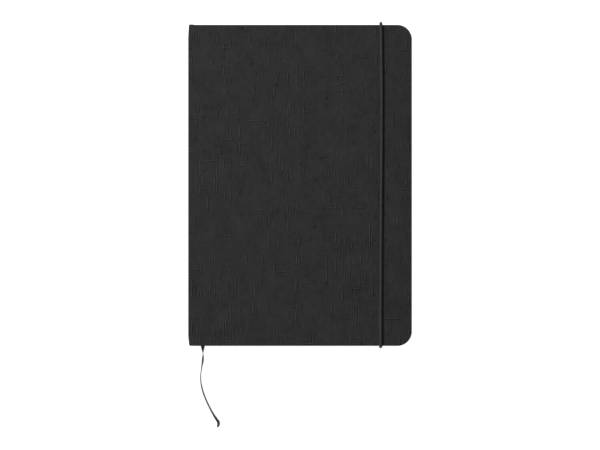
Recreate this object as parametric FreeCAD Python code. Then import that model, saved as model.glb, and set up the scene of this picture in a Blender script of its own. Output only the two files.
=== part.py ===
"""Hardback notebook with a cloth case, a round elastic band and a ribbon marker.

Frame, in millimetres: the notebook lies closed on its back cover. +X runs from the spine to the fore
edge, +Y from the tail to the head and +Z up from the table. The origin is under the middle of the cover.
"""
import FreeCAD, Part
import math
import os

Vector = FreeCAD.Vector

# ---------------------------------------------------------------- driving dimensions
COVER_WIDTH = 147.0            # spine face to fore edge, over the cloth
COVER_HEIGHT = 211.0           # tail to head, over the cloth
CORNER_RADIUS = 9.5            # the two corners at the fore edge

BLOCK_THICKNESS = 9.6          # 96 leaves
BLOCK_CORNER_RADIUS = 7.0
SQUARE = 2.5                   # how far the boards stand out past the leaves at head and tail
FORE_SQUARE = 3.0              # the same at the fore edge

BOARD = 1.8                    # board thickness
BOARD_ARRIS = 0.3              # the sanded edge of a board, taken off at 45 degrees
CLOTH = 0.4                    # book cloth with its glue
CLOTH_ARRIS = 0.8              # outer radius of the cloth round a board's edge
TURN_IN = 15.0                 # cloth folded onto the inside of a board
ENDPAPER = 0.15
PASTE_MARGIN = 3.0             # rim of turned-in cloth left bare round a pastedown
PASTE_JOINT = 0.7              # pastedown and flyleaf start this far from the spine face

SPINE_CARD = 1.0
LINING = 0.25
LINING_END = 9.0               # the lining stops this far short of the block's head and tail
BAND_TAPE = 8.0                # glued height of an end band's tape
BEAD_RADIUS = 0.8              # the corded edge of an end band

JOINT_HALF = 1.0               # cloth that bends, each side of a hinge line
HINGE_OUT = 0.2                # a hinge line lies this far outside the spine face

ELASTIC_DIAMETER = 2.0
ELASTIC_FROM_SPINE = 127.0     # centre of the elastic, from the spine face
ELASTIC_EXIT_RADIUS = 2.3      # bend where it comes out of the back cover
ELASTIC_TAB_WIDTH = 3.0        # its flattened, glued ends
ELASTIC_TAB_THICKNESS = 0.8
ELASTIC_TAB_LENGTH = 9.5

RIBBON_WIDTH = 3.0
RIBBON_THICKNESS = 0.3
RIBBON_FROM_SPINE = 9.2        # where the ribbon leaves the tail, from the spine face
RIBBON_UP = 3.0                # leaves under the ribbon
RIBBON_TIP_SLANT = 1.5         # how far the cut end runs back along one edge

# The free ribbon, as (x, y) from its exit at the tail and z above the table. It leaves flat, turns on
# its edge as it droops, and lies on its edge along the table, with a tight hook at the cut end.
RIBBON_ROUTE = [
    (0.0, -4.3, 5.6),
    (0.2, -10.6, 3.2),
    (-0.8, -17.1, 1.55),
    (-1.8, -24.1, 1.55),
    (-0.7, -31.5, 1.55),
    (2.2, -39.1, 1.55),
    (6.1, -46.9, 1.55),
    (8.9, -51.3, 1.55),
    (10.9, -54.1, 1.55),
    (9.75, -57.3, 1.55),
]
RIBBON_LEVEL_FROM = 2          # index of the first route point that lies on the table

# ---------------------------------------------------------------- clearances
FIT = 0.05                     # between pieces that touch in the closed book but belong to other bodies
LEAF_GAP = 0.1                 # pastedown to flyleaf
ELASTIC_GAP = 0.1              # elastic to cloth, and elastic to its seat
HOLLOW = 0.05                  # spine turn-in to lining

# ---------------------------------------------------------------- levels and places that follow
SPINE_X = -COVER_WIDTH / 2
FORE_X = COVER_WIDTH / 2
HALF_HEIGHT = COVER_HEIGHT / 2

BOARD_LOW = CLOTH
BOARD_HIGH = BOARD_LOW + BOARD
RIM_HIGH = BOARD_HIGH + CLOTH                  # top of the turned-in cloth
COVER = RIM_HIGH + ENDPAPER                    # a whole cover, with its pastedown
BLOCK_LOW = COVER + LEAF_GAP + ENDPAPER
BLOCK_HIGH = BLOCK_LOW + BLOCK_THICKNESS
THICKNESS = BLOCK_HIGH + BLOCK_LOW             # the closed book
HINGE_Z = BOARD_HIGH + ENDPAPER                # back hinge line

CARD_X = SPINE_X + CLOTH
SPINE_TURN_IN_X = CARD_X + SPINE_CARD
LINING_X = SPINE_TURN_IN_X + CLOTH + HOLLOW
BLOCK_X = LINING_X + LINING
BLOCK_HALF = HALF_HEIGHT - SQUARE
BLOCK_FORE_X = FORE_X - FORE_SQUARE

RIBBON_X = SPINE_X + RIBBON_FROM_SPINE
RIBBON_Z = BLOCK_LOW + RIBBON_UP
PASTE_HALF = HALF_HEIGHT - PASTE_MARGIN

ELASTIC_RADIUS = ELASTIC_DIAMETER / 2
ELASTIC_X = SPINE_X + ELASTIC_FROM_SPINE
ELASTIC_TAB_Z = RIM_HIGH - FIT - ELASTIC_TAB_THICKNESS / 2
ELASTIC_EXIT_Z = RIM_HIGH

EVERYTHING = 4 * max(COVER_WIDTH, COVER_HEIGHT)   # larger than the notebook, for half-space cuts


# ---------------------------------------------------------------- helpers
def export(name, shape):
    """Write one sub-part, after checking that it is one sound solid."""
    if len(shape.Solids) != 1 or not shape.isValid():
        raise RuntimeError(f"{name} is not one sound solid")
    shape.exportStep(f"parts/{name}.step")
    print(f"{name:18s} {shape.Volume / 1000:9.3f} cm3")


def box(x, y, z):
    """A box from three (low, high) pairs."""
    size = [high - low for low, high in (x, y, z)]
    return Part.makeBox(*size, Vector(x[0], y[0], z[0]))


def leaf_outline(spine_x, fore_x, half_height, radius):
    """A closed wire, square at the spine and round at the two fore corners."""
    straight_x = fore_x - radius
    straight_y = half_height - radius
    bulge = radius * math.sqrt(0.5)
    tail_spine = Vector(spine_x, -half_height, 0)
    head_spine = Vector(spine_x, half_height, 0)
    tail_run = Vector(straight_x, -half_height, 0)
    tail_mid = Vector(straight_x + bulge, -straight_y - bulge, 0)
    fore_low = Vector(fore_x, -straight_y, 0)
    fore_high = Vector(fore_x, straight_y, 0)
    head_mid = Vector(straight_x + bulge, straight_y + bulge, 0)
    head_run = Vector(straight_x, half_height, 0)
    edges = [
        Part.LineSegment(tail_spine, tail_run),
        Part.Arc(tail_run, tail_mid, fore_low),
        Part.LineSegment(fore_low, fore_high),
        Part.Arc(fore_high, head_mid, head_run),
        Part.LineSegment(head_run, head_spine),
        Part.LineSegment(head_spine, tail_spine),
    ]
    return Part.Wire([edge.toShape() for edge in edges])


def leaf(spine_x, fore_x, half_height, radius, low, high):
    """A plate on that outline, between two heights."""
    face = Part.Face(leaf_outline(spine_x, fore_x, half_height, radius))
    face.translate(Vector(0, 0, low))
    return face.extrude(Vector(0, 0, high - low))


def cover_leaf(inset, low, high):
    """A plate with the cover's outline, set in by one distance all round."""
    return leaf(SPINE_X + inset, FORE_X - inset, HALF_HEIGHT - inset, CORNER_RADIUS - inset, low, high)


def edges_at_height(shape, height):
    """The edges that lie level at one height."""
    found = []
    for edge in shape.Edges:
        limits = edge.BoundBox
        if abs(limits.ZMin - height) < 1e-6 and abs(limits.ZMax - height) < 1e-6:
            found.append(edge)
    return found


def to_front(shape):
    """The front cover's copy of a piece of the back cover."""
    return shape.mirror(Vector(0, 0, THICKNESS / 2), Vector(0, 0, 1))


def to_tail(shape):
    """The tail's copy of something made at the head."""
    return shape.mirror(Vector(0, 0, 0), Vector(0, 1, 0))


# ---------------------------------------------------------------- leaves and what is glued to them
def ribbon_plan(spare):
    """The ribbon between the leaves, seen from above, widened by a clearance each side.

    It runs up from the tail and leans over to the spine, where its end is held in the glue."""
    half = RIBBON_WIDTH / 2 + spare
    lean_y = BLOCK_HALF - 2 * BAND_TAPE
    head_y = BLOCK_HALF - BAND_TAPE
    lean_x = BLOCK_X + RIBBON_WIDTH
    corners = [
        (RIBBON_X - half, -BLOCK_HALF),
        (RIBBON_X + half, -BLOCK_HALF),
        (lean_x + half, lean_y),
        (BLOCK_X, head_y + spare),
        (BLOCK_X, lean_y),
        (lean_x - half, lean_y - RIBBON_WIDTH),
    ]
    return Part.makePolygon([Vector(x, y, 0) for x, y in corners + corners[:1]])


def ribbon_in_pages(spare=0.0):
    """The held part of the ribbon, or with a clearance the slit that it lies in."""
    face = Part.Face(ribbon_plan(spare))
    thickness = RIBBON_THICKNESS + 2 * spare
    face.translate(Vector(0, 0, RIBBON_Z - thickness / 2))
    return face.extrude(Vector(0, 0, thickness))


def page_block():
    """All the leaves as one block, parted only where the ribbon lies."""
    block = leaf(BLOCK_X, BLOCK_FORE_X, BLOCK_HALF, BLOCK_CORNER_RADIUS, BLOCK_LOW, BLOCK_HIGH)
    return block.cut(ribbon_in_pages(spare=FIT))


def spine_lining():
    """Paper glued down the back of the block, between the end bands."""
    half = BLOCK_HALF - LINING_END
    return box((LINING_X, BLOCK_X), (-half, half), (BLOCK_LOW, BLOCK_HIGH))


def head_band():
    """A tape glued to the block's back, with a corded bead that sits on the head of the leaves."""
    bead_y = BLOCK_HALF + BEAD_RADIUS * 0.9
    tape = box((LINING_X, BLOCK_X), (BLOCK_HALF - BAND_TAPE, bead_y), (BLOCK_LOW, BLOCK_HIGH))
    bead_foot = Vector(LINING_X + BEAD_RADIUS, bead_y, BLOCK_LOW)
    bead = Part.makeCylinder(BEAD_RADIUS, BLOCK_THICKNESS, bead_foot)
    leaves = box((BLOCK_X, FORE_X), (0, BLOCK_HALF), (BLOCK_LOW, BLOCK_HIGH))
    return tape.fuse(bead).cut(leaves).removeSplitter()


def back_flyleaf():
    """The loose half of the back endpaper, tipped to the block and over its back."""
    low = BLOCK_LOW - ENDPAPER
    return leaf(SPINE_X + PASTE_JOINT, BLOCK_FORE_X, BLOCK_HALF, BLOCK_CORNER_RADIUS, low, BLOCK_LOW)


# ---------------------------------------------------------------- the case, made at the back cover
def board():
    """One cover board, its edges just broken."""
    plate = cover_leaf(CLOTH, BOARD_LOW, BOARD_HIGH)
    rims = edges_at_height(plate, BOARD_LOW) + edges_at_height(plate, BOARD_HIGH)
    return plate.makeChamfer(BOARD_ARRIS, rims)


def turn_in_window(inset, low, high):
    """The part of a cover's inside that the turned-in cloth leaves bare. It is open at the spine."""
    reach = TURN_IN + inset
    radius = max(CORNER_RADIUS - reach, CLOTH)
    return leaf(SPINE_X - CLOTH, FORE_X - reach, HALF_HEIGHT - reach, radius, low, high)


def cover_cloth():
    """Cloth over the board's outside, round its edges and turned in on three sides."""
    wrapped = cover_leaf(0, 0, RIM_HIGH)
    wrapped = wrapped.makeFillet(CLOTH_ARRIS, edges_at_height(wrapped, 0))
    inner_rim = []
    for edge in edges_at_height(wrapped, RIM_HIGH):
        if edge.BoundBox.XMax > SPINE_X + CLOTH_ARRIS:
            inner_rim.append(edge)
    wrapped = wrapped.makeFillet(CLOTH_ARRIS, inner_rim)
    wrapped = wrapped.cut(board())
    wrapped = wrapped.cut(turn_in_window(0, BOARD_HIGH, RIM_HIGH + CLOTH))
    lip_high = HINGE_Z - JOINT_HALF
    beside_joint = box((SPINE_X - CLOTH, CARD_X), (-HALF_HEIGHT, HALF_HEIGHT), (lip_high, COVER))
    return wrapped.cut(beside_joint)


def joint_cloth():
    """The strip of the same cloth that bends at the hinge line."""
    half = HALF_HEIGHT - CLOTH / 2
    low = HINGE_Z - JOINT_HALF + FIT
    return box((SPINE_X, CARD_X - FIT), (-half, half), (low, HINGE_Z + JOINT_HALF))


def pastedown():
    """Endpaper pasted inside a board: up on the turned-in cloth, down on the bare board."""
    outer = leaf(SPINE_X + PASTE_JOINT, FORE_X - PASTE_MARGIN, PASTE_HALF,
                 CORNER_RADIUS - PASTE_MARGIN, BOARD_HIGH, COVER)
    bare = turn_in_window(0, BOARD_HIGH, COVER)
    over_cloth = outer.cut(bare).cut(cover_leaf(0, BOARD_HIGH, RIM_HIGH))
    down = outer.common(bare)
    hollow = turn_in_window(ENDPAPER, BOARD_HIGH + ENDPAPER, COVER)
    return over_cloth.fuse(down.cut(hollow)).removeSplitter()


def spine_strip():
    """Card inside the spine, as wide as the leaves are thick."""
    half = HALF_HEIGHT - CLOTH
    return box((CARD_X, SPINE_TURN_IN_X), (-half, half), (BLOCK_LOW, BLOCK_HIGH))


def spine_cloth():
    """Cloth over the spine, folded over the card at head and tail."""
    low = HINGE_Z + JOINT_HALF
    high = THICKNESS - low
    wrapped = box((SPINE_X, SPINE_TURN_IN_X + CLOTH), (-HALF_HEIGHT, HALF_HEIGHT), (low, high))
    ends = []
    for edge in wrapped.Edges:
        limits = edge.BoundBox
        if limits.ZLength > 1 and abs(abs(limits.YMin) - HALF_HEIGHT) < 1e-6:
            ends.append(edge)
    wrapped = wrapped.makeFillet(CLOTH_ARRIS, ends)
    between = HALF_HEIGHT - TURN_IN
    hollow = box((CARD_X, FORE_X), (-between, between), (low, high))
    return wrapped.cut(spine_strip()).cut(hollow)


# ---------------------------------------------------------------- elastic band
def elastic_route():
    """Half of the elastic's centre line, from its exit at the head to the middle of the front cover."""
    side_y = HALF_HEIGHT + ELASTIC_GAP + ELASTIC_RADIUS
    top_z = THICKNESS + ELASTIC_GAP + ELASTIC_RADIUS
    over_radius = CLOTH_ARRIS + ELASTIC_GAP + ELASTIC_RADIUS
    exit_y = side_y - ELASTIC_EXIT_RADIUS
    side_low = ELASTIC_EXIT_Z + ELASTIC_EXIT_RADIUS
    side_high = top_z - over_radius
    run_y = side_y - over_radius
    turn = math.sqrt(0.5)

    def place(y, z):
        return Vector(ELASTIC_X, y, z)

    exit_mid = place(exit_y + ELASTIC_EXIT_RADIUS * turn, side_low - ELASTIC_EXIT_RADIUS * turn)
    over_mid = place(run_y + over_radius * turn, side_high + over_radius * turn)
    edges = [
        Part.Arc(place(exit_y, ELASTIC_EXIT_Z), exit_mid, place(side_y, side_low)),
        Part.LineSegment(place(side_y, side_low), place(side_y, side_high)),
        Part.Arc(place(side_y, side_high), over_mid, place(run_y, top_z)),
        Part.LineSegment(place(run_y, top_z), place(0, top_z)),
    ]
    return Part.Wire([edge.toShape() for edge in edges]), exit_y


def oval(width, thickness, y, z):
    """An upright oval wire across the elastic."""
    across = Vector(ELASTIC_X, y, z)
    if abs(width - thickness) < 1e-9:
        return Part.Wire(Part.makeCircle(width / 2, across, Vector(0, 1, 0)))
    ellipse = Part.Ellipse(across + Vector(width / 2, 0, 0), across + Vector(0, 0, thickness / 2), across)
    return Part.Wire(ellipse.toShape())


def elastic_half(spare=0.0):
    """The head half of the elastic, or with a clearance the seat pressed for it in the back cover."""
    route, exit_y = elastic_route()
    diameter = ELASTIC_DIAMETER + 2 * spare
    cord = route.makePipeShell([oval(diameter, diameter, exit_y, ELASTIC_EXIT_Z)], True, True)
    width = ELASTIC_TAB_WIDTH + 2 * spare
    thickness = ELASTIC_TAB_THICKNESS + 2 * spare
    tab_y = PASTE_HALF + FIT
    tab_end = tab_y - ELASTIC_TAB_LENGTH - spare
    flat = oval(width, thickness, tab_y, ELASTIC_TAB_Z)
    neck = Part.makeLoft([flat, oval(diameter, diameter, exit_y, ELASTIC_EXIT_Z)], True, True)
    tab = Part.Face(flat).extrude(Vector(0, tab_end - tab_y, 0))
    return cord.fuse([neck, tab])


def elastic_band():
    """The whole elastic: over the front cover and into the back cover at head and tail."""
    head = elastic_half()
    return head.fuse(to_tail(head)).removeSplitter()


def elastic_seats():
    """Room for the elastic's two ends in the inside of the back cover."""
    seat = elastic_half(spare=ELASTIC_GAP)
    reach = box((SPINE_X, FORE_X), (0, EVERYTHING), (0, COVER + ELASTIC_RADIUS))
    seat = seat.common(reach)
    return seat.fuse(to_tail(seat))


# ---------------------------------------------------------------- free ribbon
def rounded_route(points):
    """Edges of a route: straight runs joined by tangent arcs, each as large as its runs allow."""
    edges = []
    radii = []
    start = points[0]
    for before, corner, after in zip(points, points[1:], points[2:]):
        reach = 0.45 * min(before.distanceToPoint(corner), corner.distanceToPoint(after))
        back = (before - corner).normalize()
        ahead = (after - corner).normalize()
        half_turn = (math.pi - back.getAngle(ahead)) / 2
        radius = reach / math.tan(half_turn)
        inward = (back + ahead).normalize()
        middle = corner + inward * (math.hypot(radius, reach) - radius)
        edges.append(Part.LineSegment(start, corner + back * reach).toShape())
        edges.append(Part.Arc(corner + back * reach, middle, corner + ahead * reach).toShape())
        start = corner + ahead * reach
        radii.append(round(radius, 1))
    edges.append(Part.LineSegment(start, points[-1]).toShape())
    print("ribbon arc radii, mm:", radii)
    return edges


def ribbon_section(place, along, roll):
    """The ribbon's rectangular section at a point of its route. Roll 0 is flat, 90 on its edge."""
    flat_side = along.cross(Vector(0, 0, 1)).normalize()
    flat_up = flat_side.cross(along)
    turn = math.radians(roll)
    side = flat_side * math.cos(turn) + flat_up * math.sin(turn)
    up = flat_up * math.cos(turn) - flat_side * math.sin(turn)
    side = side * (RIBBON_WIDTH / 2)
    up = up * (RIBBON_THICKNESS / 2)
    corners = [place - side - up, place + side - up, place + side + up, place - side + up]
    return Part.makePolygon(corners + corners[:1])


def ribbon_neck(edges):
    """The stretch that droops to the table while it turns from flat to on edge."""
    path = Part.Wire(edges)
    points = path.discretize(Number=7)
    directions = [Vector(0, -1, 0)]
    for before, after in zip(points, points[2:]):
        directions.append((after - before).normalize())
    directions.append(edges[-1].tangentAt(edges[-1].LastParameter))
    rolls = [0, 28, 56, 78, 90, 90, 90]
    sections = [ribbon_section(*station) for station in zip(points, directions, rolls)]
    return Part.makeLoft(sections, True, False)


def ribbon_tail():
    """The free end: the drooping neck, then a strip on edge with a slanting cut."""
    exit_point = Vector(RIBBON_X, -BLOCK_HALF, RIBBON_Z)
    points = [exit_point]
    for x, y, z in RIBBON_ROUTE:
        points.append(Vector(RIBBON_X + x, -BLOCK_HALF + y, z))
    edges = rounded_route(points)
    level_from = 2 * (RIBBON_LEVEL_FROM + 1)
    neck = ribbon_neck(edges[:level_from])
    level = Part.Wire(edges[level_from:])
    first = edges[level_from]
    section = ribbon_section(first.Vertexes[0].Point, first.tangentAt(first.FirstParameter), 90)
    strip = level.makePipeShell([section], True, False)
    expected = RIBBON_WIDTH * RIBBON_THICKNESS * level.Length
    print(f"level ribbon: volume {strip.Volume:.2f}, section by length {expected:.2f} mm3")
    print(f"free ribbon: {Part.Wire(edges).Length:.1f} mm long")
    return neck.fuse(strip).cut(tip_cut(points)).removeSplitter()


def tip_cut(points):
    """The wedge that leaves the ribbon's end slanting back from its lower edge."""
    end = points[-1]
    back = (points[-2] - end).normalize()
    side = back.cross(Vector(0, 0, 1)) * RIBBON_WIDTH
    slant = Vector(0, 0, RIBBON_WIDTH) + back * RIBBON_TIP_SLANT
    foot = end - Vector(0, 0, RIBBON_WIDTH / 2) - side
    low = foot - slant
    high = foot + slant * 2
    past = back * (-2 * RIBBON_WIDTH)
    wedge = Part.Face(Part.makePolygon([low, high, high + past, low + past, low]))
    return wedge.extrude(side * 2)


# ---------------------------------------------------------------- build
def main():
    os.makedirs("parts", exist_ok=True)
    cloth = cover_cloth()
    paste = pastedown()
    head = head_band()
    flyleaf = back_flyleaf()
    joint = joint_cloth()
    seats = elastic_seats()

    export("page_block", page_block())
    export("spine_lining", spine_lining())
    export("head_band", head)
    export("tail_band", to_tail(head))
    export("ribbon_in_pages", ribbon_in_pages())
    export("ribbon_tail", ribbon_tail())
    export("front_flyleaf", to_front(flyleaf))
    export("back_flyleaf", flyleaf)

    export("front_board", to_front(board()))
    export("front_cloth", to_front(cloth))
    export("front_pastedown", to_front(paste))
    export("front_joint_cloth", to_front(joint))

    export("back_board", board().cut(seats))
    export("back_cloth", cloth.cut(seats))
    export("back_pastedown", paste)
    export("back_joint_cloth", joint)

    export("spine_strip", spine_strip())
    export("spine_cloth", spine_cloth())
    export("elastic_band", elastic_band())
    print(f"closed book: {COVER_WIDTH} x {COVER_HEIGHT} x {THICKNESS:.2f} mm")
    print(f"hinge lines: x {SPINE_X - HINGE_OUT:.2f}, z {HINGE_Z:.2f} and {THICKNESS - HINGE_Z:.2f}")


main()
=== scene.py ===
# %% [markdown]
# # A hardback notebook with a round elastic and a ribbon marker
#
# The notebook is a case-bound book: a block of sewn leaves hangs in a case of two boards and a spine
# card, all wrapped in one black linen book cloth. A round braided elastic holds it shut and a satin
# ribbon marks the page. Its construction is already solved as a imported model, so this lesson keeps
# every body, hinge and size and gives each surface its look.
#
# The frame is in metres. The book lies closed on its back cover: +X runs from the spine to the fore edge,
# +Y from the tail to the head and +Z up. The first lines load that frame.

# %% Load the imported frame
import math
import random
from functools import partial

import bmesh
import bpy
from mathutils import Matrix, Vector


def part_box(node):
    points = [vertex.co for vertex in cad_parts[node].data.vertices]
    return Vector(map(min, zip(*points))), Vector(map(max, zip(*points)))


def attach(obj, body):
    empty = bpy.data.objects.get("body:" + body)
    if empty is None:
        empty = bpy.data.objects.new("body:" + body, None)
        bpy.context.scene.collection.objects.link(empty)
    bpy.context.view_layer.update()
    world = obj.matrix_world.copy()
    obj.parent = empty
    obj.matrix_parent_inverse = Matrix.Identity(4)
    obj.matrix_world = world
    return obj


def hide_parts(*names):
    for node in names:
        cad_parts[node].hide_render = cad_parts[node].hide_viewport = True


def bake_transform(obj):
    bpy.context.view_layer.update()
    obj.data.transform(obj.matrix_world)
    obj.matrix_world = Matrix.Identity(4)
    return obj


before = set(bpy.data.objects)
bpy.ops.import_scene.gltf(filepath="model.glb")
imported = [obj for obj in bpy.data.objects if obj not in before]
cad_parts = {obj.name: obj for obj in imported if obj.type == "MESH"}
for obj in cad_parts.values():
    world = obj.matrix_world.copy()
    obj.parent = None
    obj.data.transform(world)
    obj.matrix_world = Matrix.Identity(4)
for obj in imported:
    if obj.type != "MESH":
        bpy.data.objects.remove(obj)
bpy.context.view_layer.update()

# %% [markdown]
# ## Sizes that the pieces share
#
# Good modelling starts from a few real sizes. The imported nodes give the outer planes, so a piece
# made here meets its neighbours with no fitting. Only what no node's box says is written as a value:
# cloth, arris and corner sizes, which a bookbinder would give in millimetres.

# %% Sizes
MM = 0.001
front_low, front_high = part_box("front_cloth")
back_low, back_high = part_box("back_cloth")
block_low, block_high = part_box("page_block")

SPINE_X = front_low[0]
FORE_X = front_high[0]
HALF_HEIGHT = front_high[1]
TOP = front_high[2]
BOTTOM = back_low[2]
CLOTH = 0.4 * MM
CORNER_RADIUS = 9.5 * MM
CLOTH_ARRIS = 0.8 * MM
TURN_IN = 15.0 * MM
print(f"cover {1000 * (FORE_X - SPINE_X):.1f} x {2000 * HALF_HEIGHT:.1f} mm, {1000 * TOP:.1f} mm thick")

# %% [markdown]
# ## Camera
#
# A catalogue picture of a book is taken from straight above with a long lens, so that the cover keeps
# its rectangle and the sides stay out of sight. The camera stands over a point a little below the
# middle of the cover, because the ribbon needs room under the tail. Its height follows from the lens
# and from the width that the picture should span at the level of the cover.

# %% Camera
LENS = 200.0
SENSOR = 36.0
PICTURE_WIDTH = 0.3942
CAMERA_Y = -0.02604

camera_data = bpy.data.cameras.new("camera")
camera_data.lens = LENS
camera_data.sensor_width = SENSOR
camera_data.clip_end = 20.0
camera = bpy.data.objects.new("camera", camera_data)
camera.location = (0.0, CAMERA_Y, TOP + PICTURE_WIDTH * LENS / SENSOR)
bpy.context.collection.objects.link(camera)
bpy.context.scene.camera = camera
print(f"camera {camera.location.z:.3f} m above the floor")

# %% [markdown]
# ## Selecting and shaping by hand
#
# Operators act on what is selected, and the loaded nodes start selected, so every step begins by
# letting go of everything. Faces, edges and points are then picked by where they are or which way
# they look, as one would with the mouse. All the modelling below uses these helpers.

# %% Helpers for edit mode
def let_go():
    bpy.ops.object.select_all(action="DESELECT")


def take(piece):
    """Make one object the only selected and the active one."""
    let_go()
    piece.select_set(True)
    bpy.context.view_layer.objects.active = piece


def edit(piece):
    take(piece)
    bpy.ops.object.mode_set(mode="EDIT")


def done():
    bpy.ops.object.mode_set(mode="OBJECT")


def pick(piece, kind, rule):
    """In edit mode, select the faces, edges or points that the rule accepts."""
    bpy.ops.mesh.select_mode(type=kind)
    bpy.ops.mesh.select_all(action="DESELECT")
    shape = bmesh.from_edit_mesh(piece.data)
    for element in {"FACE": shape.faces, "EDGE": shape.edges, "VERT": shape.verts}[kind]:
        element.select_set(bool(rule(element)))
    shape.select_flush_mode()
    bmesh.update_edit_mesh(piece.data)


def finish_modifiers(piece):
    take(piece)
    for modifier in list(piece.modifiers):
        bpy.ops.object.modifier_apply(modifier=modifier.name)


def smooth(piece, angle=40.0):
    take(piece)
    bpy.ops.object.shade_smooth_by_angle(angle=math.radians(angle))
    finish_modifiers(piece)


def triangles(piece):
    return sum(len(face.vertices) - 2 for face in piece.data.polygons)


let_go()
print(f"{len(bpy.data.meshes)} meshes are loaded, {len(bpy.context.selected_objects)} stay selected")

# %% [markdown]
# ## Ribbon marker: its line
#
# The marker is a narrow woven satin ribbon, glued under the spine lining and hanging out at the tail.
# It leaves the leaves flat, turns on its edge as it droops to the table, and lies there on its edge in
# a lazy curve with a short hook at the end. A curve is the natural start for a ribbon: one smooth
# NURBS spline holds the line, and each control point also holds how far the ribbon has rolled.

# %% Ribbon line
RIBBON_EXIT = (-0.0643, -0.103, 0.006)
# Each row is x and y from the exit, the height above the table, and the roll in degrees from flat.
# Where the ribbon leans, its middle lies a little lower, so that its lower edge stays on the table.
RIBBON_ROUTE = [
    (0.0, 0.0, 0.006, 0.0),
    (0.0003, -0.0043, 0.0056, 50.0),
    (0.0004, -0.0106, 0.0032, 126.0),
    (-0.0008, -0.0171, 0.00151, 99.0),
    (-0.0017, -0.0241, 0.00151, 99.0),
    (-0.0006, -0.0315, 0.0015, 110.0),
    (0.0022, -0.0391, 0.0015, 109.0),
    (0.0061, -0.0469, 0.0015, 112.0),
    (0.0089, -0.0513, 0.00143, 125.0),
    (0.0110, -0.0541, 0.00127, 134.0),
    (0.0097, -0.0573, 0.00147, 110.0),
]


def new_curve(name, kind, points, twist):
    """A curve object with one spline, and the spline's points."""
    curve = bpy.data.curves.new(name, "CURVE")
    curve.dimensions = "3D"
    curve.twist_mode = twist
    spline = curve.splines.new(kind)
    knots = spline.bezier_points if kind == "BEZIER" else spline.points
    knots.add(points - 1)
    line = bpy.data.objects.new(name, curve)
    bpy.context.collection.objects.link(line)
    return line, knots


def ribbon_curve():
    line, knots = new_curve("ribbon_marker", "NURBS", len(RIBBON_ROUTE), "Z_UP")
    for knot, (x, y, z, roll) in zip(knots, RIBBON_ROUTE):
        knot.co = (RIBBON_EXIT[0] + x, RIBBON_EXIT[1] + y, z, 1.0)
        knot.tilt = math.radians(90.0 - roll)
    spline = line.data.splines[0]
    spline.order_u = 3
    spline.use_endpoint_u = True
    spline.resolution_u = 16
    return line


def points_along(line):
    """The points of the spline's own line, read while the curve has no thickness."""
    thin = bpy.data.meshes.new_from_object(line)
    points = [tuple(point.co) for point in thin.vertices]
    bpy.data.meshes.remove(thin)
    return points


ribbon_line = ribbon_curve()
ribbon_path = points_along(ribbon_line)
run = sum((Vector(b) - Vector(a)).length for a, b in zip(ribbon_path, ribbon_path[1:]))
print(f"ribbon line {1000 * run:.1f} mm long, {len(ribbon_path)} points")

# %% [markdown]
# ## Ribbon marker: the woven strip
#
# The curve's extrude gives the line a width and its bevel gives the strip rounded selvedges, and both
# roll with the tilts. A strip modelled face by face would need every turn set by hand.

# %% Ribbon strip
RIBBON_WIDTH = 3.0 * MM
RIBBON_THICKNESS = 0.26 * MM
TIP_SLANT = 1.6 * MM


def to_mesh(line):
    take(line)
    bpy.ops.object.convert(target="MESH")
    return bpy.context.object


ribbon_line.data.bevel_depth = RIBBON_THICKNESS / 2
ribbon_line.data.extrude = (RIBBON_WIDTH - RIBBON_THICKNESS) / 2
ribbon_line.data.bevel_resolution = 2
ribbon_line.data.use_fill_caps = True
ribbon = to_mesh(ribbon_line)


def cut_tip(piece):
    """Slice the end off on a slant, so that the lower selvedge stays longer than the upper one."""
    end = Vector(ribbon_path[-1])
    along = (end - Vector(ribbon_path[-8])).normalized()
    slope = (along * RIBBON_WIDTH + Vector((0.0, 0.0, TIP_SLANT))).normalized()
    edit(piece)
    pick(piece, "VERT", lambda point: (point.co - end).length < 2 * RIBBON_WIDTH)
    bpy.ops.mesh.bisect(
        plane_co=end - along * TIP_SLANT / 2, plane_no=slope, clear_outer=True, use_fill=True
    )
    done()


cut_tip(ribbon)
smooth(ribbon)
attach(ribbon, "block")
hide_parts("ribbon_tail")
print(f"ribbon strip: {triangles(ribbon)} triangles, UV maps {[m.name for m in ribbon.data.uv_layers]}")

# %% [markdown]
# ## Shaping a box by hand
#
# The cloth and the boards of the case all start as boxes, and four tools shape them: a cut adds a line
# of edges, a bevel rounds the edges that are picked, deleting faces opens a shell, and at the end all
# faces are turned outwards. The cuts lie close together near the ends of the spine, because the case
# is drawn in there later and needs points to bend at.

# %% Helpers for boxes
ARRIS_STEPS = 4
SPINE_CUTS = [cut * MM for cut in (1.2, 1.6, 2.0, 2.4, 3.0, 4.0, 6.0, 10.0)]
END_CUTS = [cut * MM for cut in (1.2, 1.8, 2.6, 3.6, 5.0, 7.0, 9.0, 12.0, 15.0)]
AXES = {"x": Vector((1.0, 0.0, 0.0)), "y": Vector((0.0, 1.0, 0.0)), "z": Vector((0.0, 0.0, 1.0))}


def name_new(name):
    """Name the primitive just added and put its place into its mesh."""
    piece = bpy.context.object
    piece.name = name
    piece.data.name = name
    bpy.ops.object.transform_apply(location=True, rotation=True, scale=True)
    return piece


def box_piece(name, low, high):
    """A cube primitive stretched between two corners."""
    let_go()
    low, high = Vector(low), Vector(high)
    bpy.ops.mesh.primitive_cube_add(size=1.0, location=(low + high) / 2, scale=high - low)
    return name_new(name)


def middle(element):
    """The middle of a face or an edge."""
    points = [point.co for point in element.verts]
    return sum(points, Vector()) / len(points)


def cut_across(axis, *places):
    """Add a line of edges at each of these places along an axis."""
    for place in places:
        bpy.ops.mesh.select_all(action="SELECT")
        bpy.ops.mesh.bisect(plane_co=AXES[axis] * place, plane_no=AXES[axis])


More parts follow.
